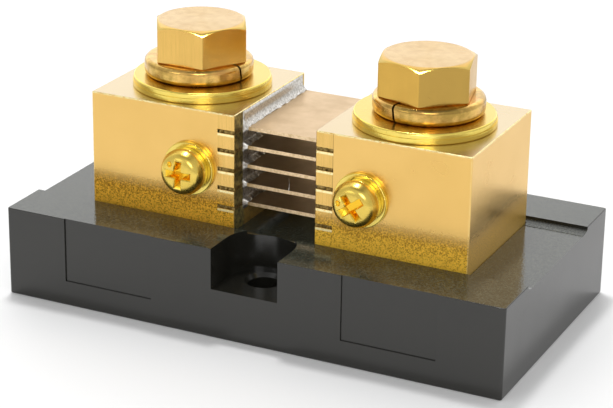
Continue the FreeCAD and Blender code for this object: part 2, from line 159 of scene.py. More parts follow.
def thread_rings(crest, depth, pitch, z_start, z_end, count, rows_per_pitch=12):
    """Rings down a shank whose radius follows a helical V thread, fading at both ends."""
    rows = int((z_start - z_end) / pitch * rows_per_pitch)
    fade = 0.9 * pitch
    flank_rise = 1.25
    flank_slope = 3.2
    rings = []
    for row in range(rows + 1):
        z = z_start + (z_end - z_start) * row / rows
        ring = []
        for i in range(count):
            angle = 2 * math.pi * i / count
            phase = (z / pitch - angle / (2 * math.pi)) % 1.0
            valley = min(1.0, max(0.0, flank_rise - abs(phase - 0.5) * flank_slope))
            near_end = min(1.0, (z_start - z) / fade)
            tip = max(0.0, 1.0 - (z - z_end) / fade)
            radius = crest - depth * max(valley * near_end, tip)
            ring.append((radius * math.cos(angle), radius * math.sin(angle), z))
        rings.append(ring)
    return rings


# ---- node trees ----------------------------------------------------------

class NodeTree:
    """Node tree with short ways to add and join nodes."""

    def __init__(self, tree):
        self.tree = tree
        self.coordinates = None

    def node(self, kind, inputs=None, **settings):
        """Add a node; inputs maps socket names or numbers to values or sockets."""
        made = self.tree.nodes.new(f"ShaderNode{kind}")
        for key, setting in settings.items():
            setattr(made, key, setting)
        for key, given in (inputs or {}).items():
            self.put(made, key, given)
        return made

    def put(self, node, key, given):
        """Give a socket a value, or join it to another socket."""
        if isinstance(given, bpy.types.NodeSocket):
            self.tree.links.new(given, node.inputs[key])
        else:
            node.inputs[key].default_value = given

    def ramp(self, value, low, high, out_low=0.0, out_high=1.0, **settings):
        """Map a value from one range to another, held at the ends."""
        made = self.node("MapRange", {
            "Value": value, "From Min": low, "From Max": high, "To Min": out_low, "To Max": out_high,
        }, **settings)
        return made.outputs[0]

    def math(self, operation, a, b=0.0):
        """One arithmetic step."""
        return self.node("Math", {0: a, 1: b}, operation=operation).outputs[0]

    def times(self, a, b):
        """Product of two values."""
        return self.math("MULTIPLY", a, b)

    def axis(self, letter, source=None):
        """One component of the position, or of another vector."""
        made = self.node("SeparateXYZ", {0: source or self.coordinates})
        return made.outputs[letter]

    def along(self, vector, direction):
        """Length of a vector along a fixed direction."""
        return self.node("VectorMath", {0: vector, 1: direction}, operation="DOT_PRODUCT").outputs["Value"]


class Shader(NodeTree):
    """Material, textured in the coordinates of the piece that wears it."""

    def __init__(self, name):
        self.material = bpy.data.materials.new(name)
        self.material.use_nodes = True
        super().__init__(self.material.node_tree)
        self.surface = self.tree.nodes["Principled BSDF"]
        self.coordinates = self.node("TexCoord").outputs["Object"]

    def set(self, **inputs):
        """Set inputs of the surface shader, with spaces written as underscores."""
        for key, given in inputs.items():
            self.put(self.surface, key.replace("_", " "), given)

    def noise(self, scale, stretch=(1.0, 1.0, 1.0), detail=3.0, roughness=0.55):
        """Noise of a number of features per metre, stretched along the axes."""
        mapped = self.node("Mapping", {"Vector": self.coordinates, "Scale": stretch})
        made = self.node("TexNoise", {
            "Vector": mapped.outputs[0], "Scale": scale, "Detail": detail, "Roughness": roughness,
        })
        return made.outputs["Fac"]

    def mix(self, factor, a, b):
        """Mix two colours or colour sockets."""
        made = self.node("Mix", data_type="RGBA")
        self.put(made, 0, factor)
        for key, given in ((6, a), (7, b)):
            self.put(made, key, (*given, 1.0) if isinstance(given, tuple) and len(given) == 3 else given)
        return made.outputs[2]

    def clouded(self, cloud, colour, shade):
        """Colour that drifts into a second shade of itself."""
        return self.mix(self.ramp(cloud, 0.3, 0.7), colour, shade)

    def satin(self, cloud, low, high):
        """Roughness that drifts between two values."""
        return self.ramp(cloud, 0.3, 0.7, low, high)

    def bump(self, height, distance, strength=1.0, below=None):
        """Bump from a height, laid over another bump if one is given."""
        inputs = {"Height": height, "Distance": distance, "Strength": strength}
        if below is not None:
            inputs["Normal"] = below
        return self.node("Bump", inputs).outputs[0]

    def soft_edges(self, radius):
        """Normal rounded over at the edges, so that they catch the light."""
        return self.node("Bevel", {"Radius": radius}, samples=6).outputs[0]

    def band(self, value, low, high, soft):
        """1 between low and high, falling to 0 over a soft edge."""
        rise = self.ramp(value, low - soft, low + soft)
        fall = self.ramp(value, high - soft, high + soft, 1.0, 0.0)
        return self.times(rise, fall)

    def facing(self, letter, sign):
        """1 on flat faces that look along an axis of the shunt."""
        normal = self.node("NewGeometry").outputs["True Normal"]
        return self.ramp(self.times(self.axis(letter, normal), float(sign)), 0.9, 0.98)

    def own_normal(self):
        """Direction of the surface in the axes of the piece itself."""
        return self.node("TexCoord").outputs["Normal"]


# ---- brass of the terminal blocks ----------------------------------------

class BlockBrass(Shader):
    """Milled and brushed brass: rough slot ends, a speckled foot of painted reflection, a stained inner face
    deepened by painted shade, painted highlights along its edges and under the slots, and a painted paler
    tone on top.
    """

    CLEAN = (0.84, 0.54, 0.17)
    CLEAN_SHADE = (0.80, 0.51, 0.155)
    PAINTED_TOP_TONE = (0.56, 0.45, 0.275)
    CUTTER_LINE = (0.62, 0.40, 0.10)
    SCRIBED_LINE = (0.25, 0.14, 0.04)
    PAINTED_EDGE_HIGHLIGHT = (1.0, 0.88, 0.46)
    SOOT_AND_SHADE = (0.14, 0.12, 0.06)
    SOOTY_BRASS_AND_SHADE = (0.52, 0.43, 0.15)

    def __init__(self, name, side, plates, scribed, painted_foot_dark, painted_foot_bright, painted_foot_metallic):
        super().__init__(name)
        self.y = self.axis("Y")
        self.z = self.axis("Z")
        self.reach = self.times(self.axis("X"), float(side))
        self.front = self.facing("Y", -1)
        self.inner = self.facing("X", -side)
        self.top = self.facing("Z", 1)
        self.walls = self.math("SUBTRACT", 1.0, self.top)
        self.highlight_breaks = self.noise(2300.0, detail=3.0, roughness=0.7)
        self.cutter_lines = self.noise(1.0, (5600.0, 5600.0, 120.0), detail=2.0)
        slots = self.band(self.reach, BLOCK_INNER_X * MM, SLOT_END_X * MM, 0.04 * MM)
        self.slot_zone = self.times(self.front, slots)
        cloud = self.noise(120.0, detail=4.0)
        grain = self.noise(5200.0, detail=2.0)
        # Painted reflection of the dark base, with painted sparkle, low on the walls.
        painted_foot = self.painted_foot_mask(grain)
        # Real soot and stain on the inner face, deepened by painted shade where it looks into the dark gap.
        stain_and_shade = self.times(self.inner, self.ramp(self.y, -9.6 * MM, -8.8 * MM, 1.0, 0.4))

        colour = self.clouded(cloud, self.CLEAN, self.CLEAN_SHADE)
        # Painted light: the top faces get a paler, greyer tone for the strong light that falls on them.
        colour = self.mix(self.top, colour, self.PAINTED_TOP_TONE)
        colour = self.with_slot_marks(colour, scribed)
        colour = self.mix(painted_foot, colour, self.painted_foot_colour(painted_foot_dark, painted_foot_bright))
        # Painted highlights along the edges and under the slots.
        painted_highlights = self.math("MAXIMUM", self.slot_lip_highlights(plates), self.edge_highlights())
        colour = self.mix(painted_highlights, colour, self.PAINTED_EDGE_HIGHLIGHT)
        colour = self.mix(stain_and_shade, colour, self.stain_and_shade_colour())

        roughness = self.satin(cloud, 0.22, 0.28)
        roughness = self.math("ADD", roughness, self.times(painted_foot, 0.34))
        roughness = self.math("ADD", roughness, self.times(stain_and_shade, 0.25))
        self.set(
            Base_Color=colour, Metallic=self.ramp(painted_foot, 0.0, 1.0, 1.0, painted_foot_metallic),
            Roughness=roughness, Normal=self.relief(grain, painted_foot),
        )

    def painted_foot_mask(self, grain):
        """1 low on the walls, where the reflection of the dark base is painted, ending upward in a ragged
        edge, and weaker off the front face.
        """
        low, high = PAINTED_FOOT_FADE_Z
        ragged = self.math("ADD", self.z, self.ramp(grain, 0.2, 0.8, -0.9 * MM, 0.9 * MM))
        painted_foot = self.times(self.walls, self.ramp(ragged, low * MM, high * MM, 1.0, 0.0))
        return self.times(painted_foot, self.ramp(self.front, 0.0, 1.0, 0.4, 1.0))

    def painted_foot_colour(self, dark, bright):
        """Painted reflection of the dark base, speckled as painted sparkle, brighter toward the bottom."""
        speckle = self.noise(4300.0, detail=3.0, roughness=0.65)
        speckle = self.math("ADD", speckle, self.ramp(self.z, 15.0 * MM, 20.0 * MM, 0.10, -0.07))
        return self.mix(self.ramp(speckle, 0.38, 0.60), dark, bright)

    def stain_and_shade_colour(self):
        """Soot and bare brass in patches, darkened further as painted reflection of the dark gap between the
        blocks.
        """
        patches = self.noise(1300.0, detail=5.0, roughness=0.7)
        return self.mix(self.ramp(patches, 0.36, 0.64), self.SOOT_AND_SHADE, self.SOOTY_BRASS_AND_SHADE)

    def with_slot_marks(self, colour, scribed):
        """Cutter lines beside the slots and, if asked for, a scribed line where they end."""
        lined = self.times(self.slot_zone, self.ramp(self.cutter_lines, 0.38, 0.62, 0.0, 0.45))
        colour = self.mix(lined, colour, self.CUTTER_LINE)
        if scribed:
            scribe = self.band(self.reach, SCRIBE_X * MM, (SCRIBE_X + SCRIBE_WIDTH) * MM, 0.05 * MM)
            scribe = self.times(scribe, self.front)
            colour = self.mix(self.times(scribe, 0.7), colour, self.SCRIBED_LINE)
        return colour

    def slot_lip_highlights(self, plates):
        """Painted highlight of the lit lower lip under the front end of each slot, broken up by noise."""
        pitch = plates[0] - plates[1]
        lowest = plates[-1] - PLATE_HALF
        pitches_up = self.math("DIVIDE", self.math("SUBTRACT", self.z, lowest * MM), pitch * MM)
        # Painted highlight band where the lower lip of each slot catches the light.
        lip_highlight = self.band(self.math("FRACT", pitches_up), 0.86, 0.975, 0.012)
        lip_highlight = self.times(lip_highlight, self.ramp(pitches_up, -0.5, -0.4))
        lip_highlight = self.times(lip_highlight, self.ramp(pitches_up, 4.2, 4.1))
        return self.times(self.times(lip_highlight, self.ramp(self.highlight_breaks, 0.32, 0.46)), self.slot_zone)

    def edge_highlights(self):
        """Painted highlight, broken up by noise, along the top edge and the front face's outer edge."""
        near_top = self.ramp(self.z, (BLOCK_TOP_Z - 0.26) * MM, (BLOCK_TOP_Z - 0.18) * MM)
        top_edge = self.times(self.walls, near_top)
        near_outer = self.ramp(self.reach, (BLOCK_OUTER_X - 0.20) * MM, (BLOCK_OUTER_X - 0.14) * MM)
        outer_edge = self.times(self.times(near_outer, self.front), 0.7)
        edges = self.math("MAXIMUM", top_edge, outer_edge)
        return self.times(edges, self.ramp(self.highlight_breaks, 0.40, 0.52))

    def relief(self, grain, painted_foot):
        """Brushing, grain that is deeper at the foot, and cutter lines beside the slots."""
        brushed = self.noise(1.0, (5200.0, 5200.0, 260.0), detail=4.0)
        top_brushed = self.noise(1.0, (300.0, 4200.0, 4200.0), detail=4.0)
        streaks = self.node("Mix", {0: self.top, 2: brushed, 3: top_brushed}).outputs[0]
        normal = self.bump(streaks, 0.010 * MM, 0.5, self.soft_edges(BLOCK_ROUNDING * MM))
        grain_strength = self.math("ADD", 0.35, self.times(painted_foot, 3.0))
        normal = self.bump(grain, 0.016 * MM, grain_strength, normal)
        return self.bump(self.cutter_lines, 0.02 * MM, self.times(self.slot_zone, 0.6), normal)


# ---- other materials -----------------------------------------------------

def bolt_brass(name, colour, shade, flat_shade):
    """Machined brass bolt: flats brushed along the axis, an end face turned in fine circles, painted shade on
    the crown cone and on one flat.
    """
    shader = Shader(name)
    cloud = shader.noise(260.0, detail=4.0)
    grain = shader.noise(7000.0, detail=2.0)
    brushed = shader.noise(1.0, (6000.0, 6000.0, 180.0), detail=3.0)
    mottle = shader.noise(650.0, detail=4.0, roughness=0.65)
    own_normal = shader.own_normal()
    own_up = shader.axis("Z", own_normal)
    top = shader.ramp(own_up, 0.93, 0.99)
    shaded_crown = shader.band(own_up, 0.70, 0.93, 0.02)
    # One flat is darkened: painted shade for the darker surroundings it faces.
    azimuth = math.radians(BOLT_SHADED_FLAT)
    toward_shaded_flat = shader.along(own_normal, (math.cos(azimuth), math.sin(azimuth), 0.0))
    shaded_flat = shader.ramp(toward_shaded_flat, 0.93, 0.99, 0.0, flat_shade)

    base = shader.clouded(cloud, colour, shade)
    base = shader.mix(shader.ramp(brushed, 0.40, 0.66, 0.0, 0.24), base, (0.52, 0.33, 0.07))
    base = shader.mix(shaded_flat, base, (0.30, 0.21, 0.06))
    top_colour = shader.mix(shader.ramp(mottle, 0.35, 0.65), (0.56, 0.39, 0.17), (0.50, 0.325, 0.125))
    base = shader.mix(top, base, top_colour)
    # Painted reflection: the crown cone is darkened for the dim sky overhead that it reflects.
    base = shader.mix(shaded_crown, base, (0.46, 0.32, 0.07))
    shader.set(
        Base_Color=base, Metallic=1.0,
        Roughness=shader.math("SUBTRACT", shader.satin(cloud, 0.22, 0.28), shader.times(shaded_crown, 0.08)),
        Anisotropic=0.6, Anisotropic_Rotation=shader.times(top, 0.25),
        Tangent=shader.node("Tangent", direction_type="RADIAL", axis="Z").outputs[0],
        Normal=shader.bump(grain, 0.008 * MM, 0.5),
    )
    return shader.material


def screw_brass(name):
    """Bright brass of the sense screws, deeper in colour inside the driver recess."""
    shader = Shader(name)
    cloud = shader.noise(420.0, detail=4.0)
    grain = shader.noise(5200.0, detail=3.0)
    sunk_from = (SCREW_HEAD_HEIGHT - 0.42) * MM
    sunk_to = (SCREW_HEAD_HEIGHT - 0.30) * MM
    sunk = shader.ramp(shader.axis("Z"), sunk_from, sunk_to, 1.0, 0.0)
    flat = shader.node("VectorMath", {0: shader.coordinates, 1: (1.0, 1.0, 0.0)}, operation="MULTIPLY")
    radius = shader.node("VectorMath", {0: flat.outputs[0]}, operation="LENGTH").outputs["Value"]
    central = shader.ramp(radius, CROSS_RADIUS * MM, (CROSS_RADIUS + 0.15) * MM, 1.0, 0.0)
    base = shader.clouded(cloud, (0.84, 0.62, 0.13), (0.76, 0.54, 0.10))
    base = shader.mix(shader.times(sunk, central), base, (0.95, 0.57, 0.04))
    shader.set(
        Base_Color=base, Metallic=1.0, Roughness=shader.satin(cloud, 0.21, 0.30),
        Normal=shader.bump(grain, 0.010 * MM, 0.6),
    )
    return shader.material


def washer_metal(name, colour, shade, roughness, top_colour=None, smudge=None):
    """Stamped or wound metal, slightly uneven, with small scratches; a given top_colour paints the top faces
    darker as painted reflection.
    """
    shader = Shader(name)
    cloud = shader.noise(300.0, detail=5.0)
    scratches = shader.noise(1.0, (900.0, 5200.0, 5200.0), detail=3.0)
    waves = shader.noise(700.0, detail=2.0)
    base = shader.mix(shader.ramp(cloud, 0.35, 0.65), colour, shade)
    if smudge:
        smudges = shader.noise(190.0, detail=6.0, roughness=0.7)
        base = shader.mix(shader.ramp(smudges, 0.42, 0.60, 0.0, 0.85), base, smudge)
    # Painted reflection: a darker colour on the top faces.
    if top_colour:
        base = shader.mix(shader.facing("Z", 1), base, top_colour)
    normal = shader.bump(waves, 0.02 * MM, 0.5)
    normal = shader.bump(scratches, 0.008 * MM, 0.6, normal)
    shader.set(
        Base_Color=base, Metallic=1.0, Roughness=shader.satin(cloud, roughness, roughness + 0.08),
        Normal=normal,
    )
    return shader.material


def filling_solder(name):
    """Ragged metal seen in the ends of the slots, with painted shade in its pits."""
    shader = Shader(name)
    pits = shader.noise(1.0, (1500.0, 2600.0, 2600.0), detail=4.0, roughness=0.7)
    # Painted shade: darker where the pits sink in.
    base = shader.mix(shader.ramp(pits, 0.40, 0.64), (0.17, 0.11, 0.03), (0.46, 0.33, 0.12))
    shader.set(
        Base_Color=base, Metallic=1.0, Roughness=0.45, Normal=shader.bump(pits, 0.03 * MM, 0.8),
    )
    return shader.material


def plate_alloy(name):
    """Rolled manganin strip with bright sheared front edges."""
    shader = Shader(name)
    cloud = shader.noise(300.0, detail=4.0)
    rolled = shader.noise(1.0, (250.0, 4000.0, 4000.0), detail=3.0)
    nicks = shader.noise(1900.0, detail=3.0, roughness=0.7)
    base = shader.clouded(cloud, (0.56, 0.40, 0.23), (0.48, 0.345, 0.20))
    edge = shader.mix(shader.ramp(nicks, 0.36, 0.60), (0.66, 0.48, 0.26), (0.90, 0.69, 0.44))
    base = shader.mix(shader.facing("Y", -1), base, edge)
    base = shader.mix(shader.facing("Z", -1), base, (0.54, 0.41, 0.13))
    shader.set(
        Base_Color=base, Metallic=1.0, Roughness=shader.satin(cloud, 0.34, 0.46),
        Normal=shader.bump(rolled, 0.008 * MM, 0.6),
    )
    return shader.material


def solder_metal(name):
    """Dull tin solder, crazed, and darkened to brown in patches below the top plate."""
    shader = Shader(name)
    cloud = shader.noise(2600.0, detail=5.0, roughness=0.7)
    brown_patches = shader.noise(420.0, detail=5.0, roughness=0.7)
    base = shader.mix(shader.ramp(cloud, 0.36, 0.64), (0.84, 0.82, 0.77), (0.46, 0.43, 0.39))
    below_top = shader.ramp(shader.axis("Z"), 30.2 * MM, 31.6 * MM, 1.0, 0.0)
    browned = shader.times(shader.ramp(brown_patches, 0.46, 0.62), shader.times(below_top, 0.75))
    base = shader.mix(browned, base, (0.10, 0.07, 0.04))
    shader.set(
        Base_Color=base, Metallic=0.9, Roughness=shader.satin(cloud, 0.26, 0.5),
        Normal=shader.bump(cloud, 0.03 * MM, 0.7),
    )
    return shader.material


def moulded_plastic(name):
    """Glossy black thermoset with faint tool lines, grained and dusty on its upper faces, where the greenish
    dust colour also stands in as painted reflection.
    """
    shader = Shader(name)
    haze = shader.noise(140.0, detail=4.0)
    peel = shader.noise(3400.0, detail=2.0)
    tool = shader.noise(1.0, (2600.0, 60.0, 90.0), detail=2.0)
    above_notches = shader.ramp(shader.axis("Z"), DECK_Z * MM, (DECK_Z + 0.5) * MM)
    deck = shader.times(shader.facing("Z", 1), above_notches)
    grain_strength = shader.math("ADD", 0.35, shader.times(deck, 1.3))
    normal = shader.bump(peel, 0.008 * MM, grain_strength)
    normal = shader.bump(tool, 0.005 * MM, 0.45, normal)
    plain = shader.mix(haze, (0.012, 0.0115, 0.009), (0.016, 0.0155, 0.012))
    # Dust and painted reflection: a greenish speckle on the upper faces.
    dust_and_reflection = shader.mix(shader.ramp(peel, 0.4, 0.6), (0.018, 0.021, 0.017), (0.054, 0.060, 0.046))
    shader.set(
        Base_Color=shader.mix(deck, plain, dust_and_reflection),
        Roughness=shader.math("SUBTRACT", shader.satin(haze, 0.15, 0.22), shader.times(deck, 0.09)),
        IOR=shader.ramp(deck, 0.0, 1.0, 1.6, 1.47), Normal=normal,
    )
    return shader.material


def plated_steel(name):
    """Zinc-plated steel for the screws under the base."""
    shader = Shader(name)
    cloud = shader.noise(500.0, detail=4.0)
    shader.set(
        Base_Color=shader.clouded(cloud, (0.60, 0.61, 0.60), (0.48, 0.49, 0.50)),
        Metallic=1.0, Roughness=shader.satin(cloud, 0.25, 0.36),
        Normal=shader.bump(shader.noise(5000.0), 0.006 * MM, 0.4),
    )
    return shader.material


def use(material, *names):
    """Give CAD nodes a material, in every slot that they have."""
    for name in names:
        mesh = nodes[name].data
        if not mesh.materials:
            mesh.materials.append(material)
        for index in range(len(mesh.materials)):
            mesh.materials[index] = material


# ---- terminal bolts ------------------------------------------------------

def hexagon_radius(angle):
    """Distance to the side of the bolt's hexagon, its corners worn down a little."""
    flat = BOLT_FLATS / 2
    turn = (angle + math.pi / 6) % (math.pi / 3) - math.pi / 6
    corner_turn = math.pi / 6 - abs(turn)
    sharp = flat / math.cos(corner_turn)
    return min(sharp, flat / math.cos(math.pi / 6) - BOLT_CORNER_WEAR)


def crown_height(radius):
    """Height of the bolt's crown cone at a distance from the axis."""
    slope = math.tan(math.radians(BOLT_CROWN_SLOPE))
    return BOLT_HEAD_HEIGHT - max(0.0, radius - BOLT_CROWN_RADIUS) * slope


def bolt_head_rings(count):
    """Rings of a hexagon head, from its turned top face to its underside."""
    sides = [(2 * math.pi * i / count, hexagon_radius(2 * math.pi * i / count)) for i in range(count)]
    top_steps = 26
    ripple_height = 0.006
    ripple_rate = 9.0
    lower_edge = 0.18
    edge_wear = 0.16

    def hexagon_ring(shrink, heights):
        return [
            ((side - shrink) * math.cos(angle), (side - shrink) * math.sin(angle), z)
            for (angle, side), z in zip(sides, heights)
        ]

    rings = []
    for step in range(1, top_steps + 1):
        radius = BOLT_CROWN_RADIUS * step / top_steps
        ripple = ripple_height * math.sin(radius * ripple_rate) if step < top_steps else 0.0
        rings.append(circle_ring(radius, BOLT_HEAD_HEIGHT + ripple, count))
    rings.append(hexagon_ring(0.0, [crown_height(side) for angle, side in sides]))
    rings.append(hexagon_ring(0.0, [lower_edge] * count))
    rings.append(hexagon_ring(edge_wear, [0.0] * count))
    return rings


def make_bolt(name, material):
    """Hexagon bolt with a crowned head and a helical M10 thread."""
    node = f"{name}_terminal_bolt"
    low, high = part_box(node)
    count = 144
    neck_radius = 5.6
    neck_bottom = -0.35
    thread_top = -0.9
    bm = bmesh.new()
    rings = bolt_head_rings(count)
    rings.append(circle_ring(neck_radius, 0.0, count))
    rings.append(circle_ring(BOLT_SHANK_RADIUS - 0.03, neck_bottom, count))
    rings += thread_rings(
        BOLT_SHANK_RADIUS, BOLT_THREAD_DEPTH, BOLT_PITCH, thread_top, -BOLT_LENGTH, count,
    )
    stack_rings(bm, rings, (0, 0, BOLT_HEAD_HEIGHT), (0, 0, -BOLT_LENGTH))
    bolt = add_object(f"{name}_bolt_threaded", bm, material)
    middle = (low + high) / 2
    seat = high.z - BOLT_HEAD_HEIGHT * MM
    turn = Matrix.Rotation(math.radians(BOLT_TURN[name]), 4, "Z")
    bolt.matrix_world = Matrix.Translation((middle.x, middle.y, seat)) @ turn
    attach(bolt, node)
    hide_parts(node)


# ---- sense screws --------------------------------------------------------

def screw_head_rings(count):
    """Rings of a pan head, from its crown down to its underside."""
    rim = SCREW_HEAD_RADIUS
    crown_steps = 22
    crown_dome = 0.34
    rim_tuck = 0.035
    profile = []
    for step in range(1, crown_steps + 1):
        across = step / crown_steps
        drop = crown_dome * across ** 2
        drop += (SCREW_HEAD_HEIGHT - SCREW_SHOULDER - crown_dome) * across ** 7
        profile.append((rim * (across - rim_tuck * across ** 8), SCREW_HEAD_HEIGHT - drop))
    profile += [(rim, SCREW_SHOULDER - 0.25), (rim, 0.2), (rim - 0.18, 0.0)]
    return [circle_ring(radius, z, count) for radius, z in profile]


def bar_cutter(turn):
    """Tapered bar that cuts one arm pair of the driver recess."""
    bm = bmesh.new()
    upper_end = (2.9, 0.72, SCREW_HEAD_HEIGHT + 0.6)
    lower_end = (1.3, 0.52, SCREW_HEAD_HEIGHT - 1.7)
    rotation = Matrix.Rotation(math.radians(turn), 4, "Z")
    for vertex in bmesh.ops.create_cube(bm, size=1.0)["verts"]:
        half_span, half_width, height = upper_end if vertex.co.z > 0 else lower_end
        vertex.co.x = math.copysign(half_span, vertex.co.x)
        vertex.co.y = math.copysign(half_width, vertex.co.y)
        vertex.co.z = height
        vertex.co = rotation @ vertex.co
    return bm


def dimple_cutter():
    """Ball that cuts the small dimple beside the driver recess."""
    bm = bmesh.new()
    bmesh.ops.create_uvsphere(bm, u_segments=20, v_segments=12, radius=DIMPLE_RADIUS)
    bmesh.ops.translate(bm, verts=bm.verts, vec=(*DIMPLE_PLACE, SCREW_HEAD_HEIGHT - 0.10))
    return bm


def cut(target, cutter):
    """Subtract one object from another and remove the cutter."""
    modifier = target.modifiers.new("cut", "BOOLEAN")
    modifier.operation = "DIFFERENCE"
    modifier.solver = "EXACT"
    modifier.object = cutter
    depsgraph = bpy.context.evaluated_depsgraph_get()
    mesh = bpy.data.meshes.new_from_object(target.evaluated_get(depsgraph))
    target.modifiers.remove(modifier)
    target.data = mesh
    bpy.data.objects.remove(cutter)


def make_screw(name, material):
    """Pan-head screw with a cross recess, a dimple and a helical M4 thread."""
    node = f"{name}_sense_screw"
    low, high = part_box(node)
    count = 96
    neck_radius = 2.3
    neck_bottom = -0.2
    thread_top = -0.5
    bm = bmesh.new()
    rings = screw_head_rings(count)
    rings.append(circle_ring(neck_radius, 0.0, count))
    rings.append(circle_ring(SCREW_SHANK_RADIUS - 0.02, neck_bottom, count))
    rings += thread_rings(
        SCREW_SHANK_RADIUS, SCREW_THREAD_DEPTH, SCREW_PITCH, thread_top, -SCREW_LENGTH, count,
    )
    stack_rings(bm, rings, (0, 0, SCREW_HEAD_HEIGHT), (0, 0, -SCREW_LENGTH))
    screw = add_object(f"{name}_sense_screw_threaded", bm, material, 30.0)
    for arm_turn in CROSS_TURNS:
        cut(screw, add_object("bar_cutter", bar_cutter(arm_turn), material))
    cut(screw, add_object("dimple_cutter", dimple_cutter(), material))
    seat = Vector(((low.x + high.x) / 2, low.y + SCREW_HEAD_HEIGHT * MM, (low.z + high.z) / 2))
    forward = Matrix.Rotation(math.radians(90.0), 4, "X")
    turn = Matrix.Rotation(math.radians(SCREW_TURN[name]), 4, "Z")
    screw.matrix_world = Matrix.Translation(seat) @ forward @ turn
    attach(screw, node)
    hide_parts(node)


# ---- solder --------------------------------------------------------------

def plate_heights():
    """Middle heights of the resistor plates in millimetres, the top one first."""
    boxes = [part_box(f"resistor_plate_{number + 1}") for number in range(PLATE_COUNT)]
    return [(low.z + high.z) / 2 / MM for low, high in boxes]


def waves(x, y, z):
    """Smooth noise between about -1 and 1 at a point."""
    return noise.noise(Vector((x, y, z)))


def solder_depth(y, z, plates, side):
    """How far the solder stands off a block's inner face, in millimetres."""
    rough = waves(y * 0.8, z * 0.8, 3.0 * side)
    fine = waves(y * 2.6, z * 2.6, 7.0 * side)
    film = 0.08
    thinnest = 0.02
    top_film = 0.26
    top_bead = 0.85
    top_bead_leg = 1.3
    depth = film + 0.05 * rough + 0.03 * fine
    for number, middle in enumerate(plates):
        away = max(0.0, abs(z - middle) - PLATE_HALF)
        leg = 0.70 + 0.30 * waves(y * 0.55, 11.0 * number, 5.0 * side)
        if away < leg:
            reach = 0.95 + 0.35 * waves(y * 1.1, 4.0 * number + z * 0.4, 9.0 * side)
            depth = max(depth, reach * (1.0 - away / leg) ** 1.7)
    above = z - plates[0] - PLATE_HALF
    if above > 0.0:
        bead = top_bead * max(0.0, 1.0 - above / top_bead_leg) ** 2
        depth = max(depth, top_film + 0.03 * rough + 0.02 * fine + bead)
    return max(thinnest, depth)


def make_solder_skin(name, side, material):
    """Solder skin over a block's inner face, with a fillet along every plate."""
    block_low, block_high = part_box(f"{name}_block")
    plate_low, plate_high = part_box("resistor_plate_1")
    plates = plate_heights()
    face = (block_high.x if side < 0 else block_low.x) / MM
    side_lap = 0.3
    y0 = plate_low.y / MM - side_lap
    y1 = plate_high.y / MM + side_lap
    z0 = plates[-1] - 1.2
    z1 = block_high.z / MM - 0.15
    columns = 170
    rows = 140
    border_rows = 3.0
    border_sink = 0.03
    bm = bmesh.new()
    grid = []
    for row in range(rows + 1):
        line = []
        for column in range(columns + 1):
            y = y0 + (y1 - y0) * column / columns
            z = z0 + (z1 - z0) * row / rows
            edge = min(column, columns - column, row, rows - row) / border_rows
            depth = solder_depth(y, z, plates, side) * min(1.0, edge)
            if edge == 0:
                depth -= border_sink
            line.append(bm.verts.new((face - side * depth, y, z)))
        grid.append(line)
    hidden = face + side * SOLDER_BACK
    back = [[bm.verts.new((hidden, v.co.y, v.co.z)) for v in line] for line in grid]
    for row in range(rows):
        for column in range(columns):
            for sheet in (grid, back):
                bm.faces.new((sheet[row][column], sheet[row][column + 1],
                              sheet[row + 1][column + 1], sheet[row + 1][column]))
    border = [(0, c) for c in range(columns)] + [(r, columns) for r in range(rows)]
    border += [(rows, c) for c in range(columns, 0, -1)] + [(r, 0) for r in range(rows, 0, -1)]
    for (r0, c0), (r1, c1) in zip(border, border[1:] + border[:1]):
        bm.faces.new((grid[r0][c0], grid[r1][c1], back[r1][c1], back[r0][c0]))
    solder = add_object(f"{name}_solder_fillets", bm, material, 60.0)
    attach(solder, "shunt_body")
    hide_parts(f"{name}_solder")


def make_fillings(name, side, material):
    """Metal that fills the front end of every slot, set back a little from the block's face."""
    block_low, block_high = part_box(f"{name}_block")
    plate_low, plate_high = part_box("resistor_plate_1")
    face = (block_high.x if side < 0 else block_low.x) / MM
    slot_end = (plate_low.x if side < 0 else plate_high.x) / MM
    front = block_low.y / MM + FILLING_RECESS
    back = plate_low.y / MM
    half = (plate_high.z - plate_low.z) / 2 / MM - 0.01
    columns = 36
    bm = bmesh.new()
    for number, middle in enumerate(plate_heights()):
        rings = []
        for column in range(columns + 1):
            x = face + (slot_end - face) * column / columns
            sink = 0.30 * waves(x * 2.3, 5.0 * number, 2.0 * side)
            hollow = 0.22 * waves(x * 3.1, 5.0 * number, 6.0 * side)
            rings.append([
                (x, front + sink + hollow, middle + half), (x, front + sink - 0.05, middle),
                (x, front + sink - hollow, middle - half), (x, back, middle - half), (x, back, middle + half),
            ])
        ends = [Vector((ring[0][0], (front + back) / 2, middle)) for ring in (rings[0], rings[-1])]
        stack_rings(bm, rings, *ends)
    filling = add_object(f"{name}_slot_fillings", bm, material)
    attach(filling, "shunt_body")
    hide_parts(f"{name}_solder")


def make_solder_spike(material):
    """Thin spike of solder that stands on the fourth plate."""
    plates = plate_heights()
    plate_low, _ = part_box("resistor_plate_3")
    top = plates[2] - 0.9
    bottom = plates[3] + PLATE_HALF - 0.02
    rows = 12
    sway = 0.10
    rings = []
    for row in range(rows + 1):
        along = row / rows
        radius = 0.02 + 0.03 * along + 0.10 * along ** 6
        lean = sway * math.sin(3.0 * along)
        height = top + (bottom - top) * along
        rings.append([(px + lean, py, pz) for px, py, pz in circle_ring(radius, height, 12)])
    bm = bmesh.new()
    stack_rings(bm, rings, (0, 0, top), (sway * math.sin(3.0), 0, bottom))
    run = add_object("solder_run", bm, material, 60.0)
    run.location = (SPIKE_X * MM, plate_low.y + 0.2 * MM, 0.0)
    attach(run, "shunt_body")


# ---- studio --------------------------------------------------------------

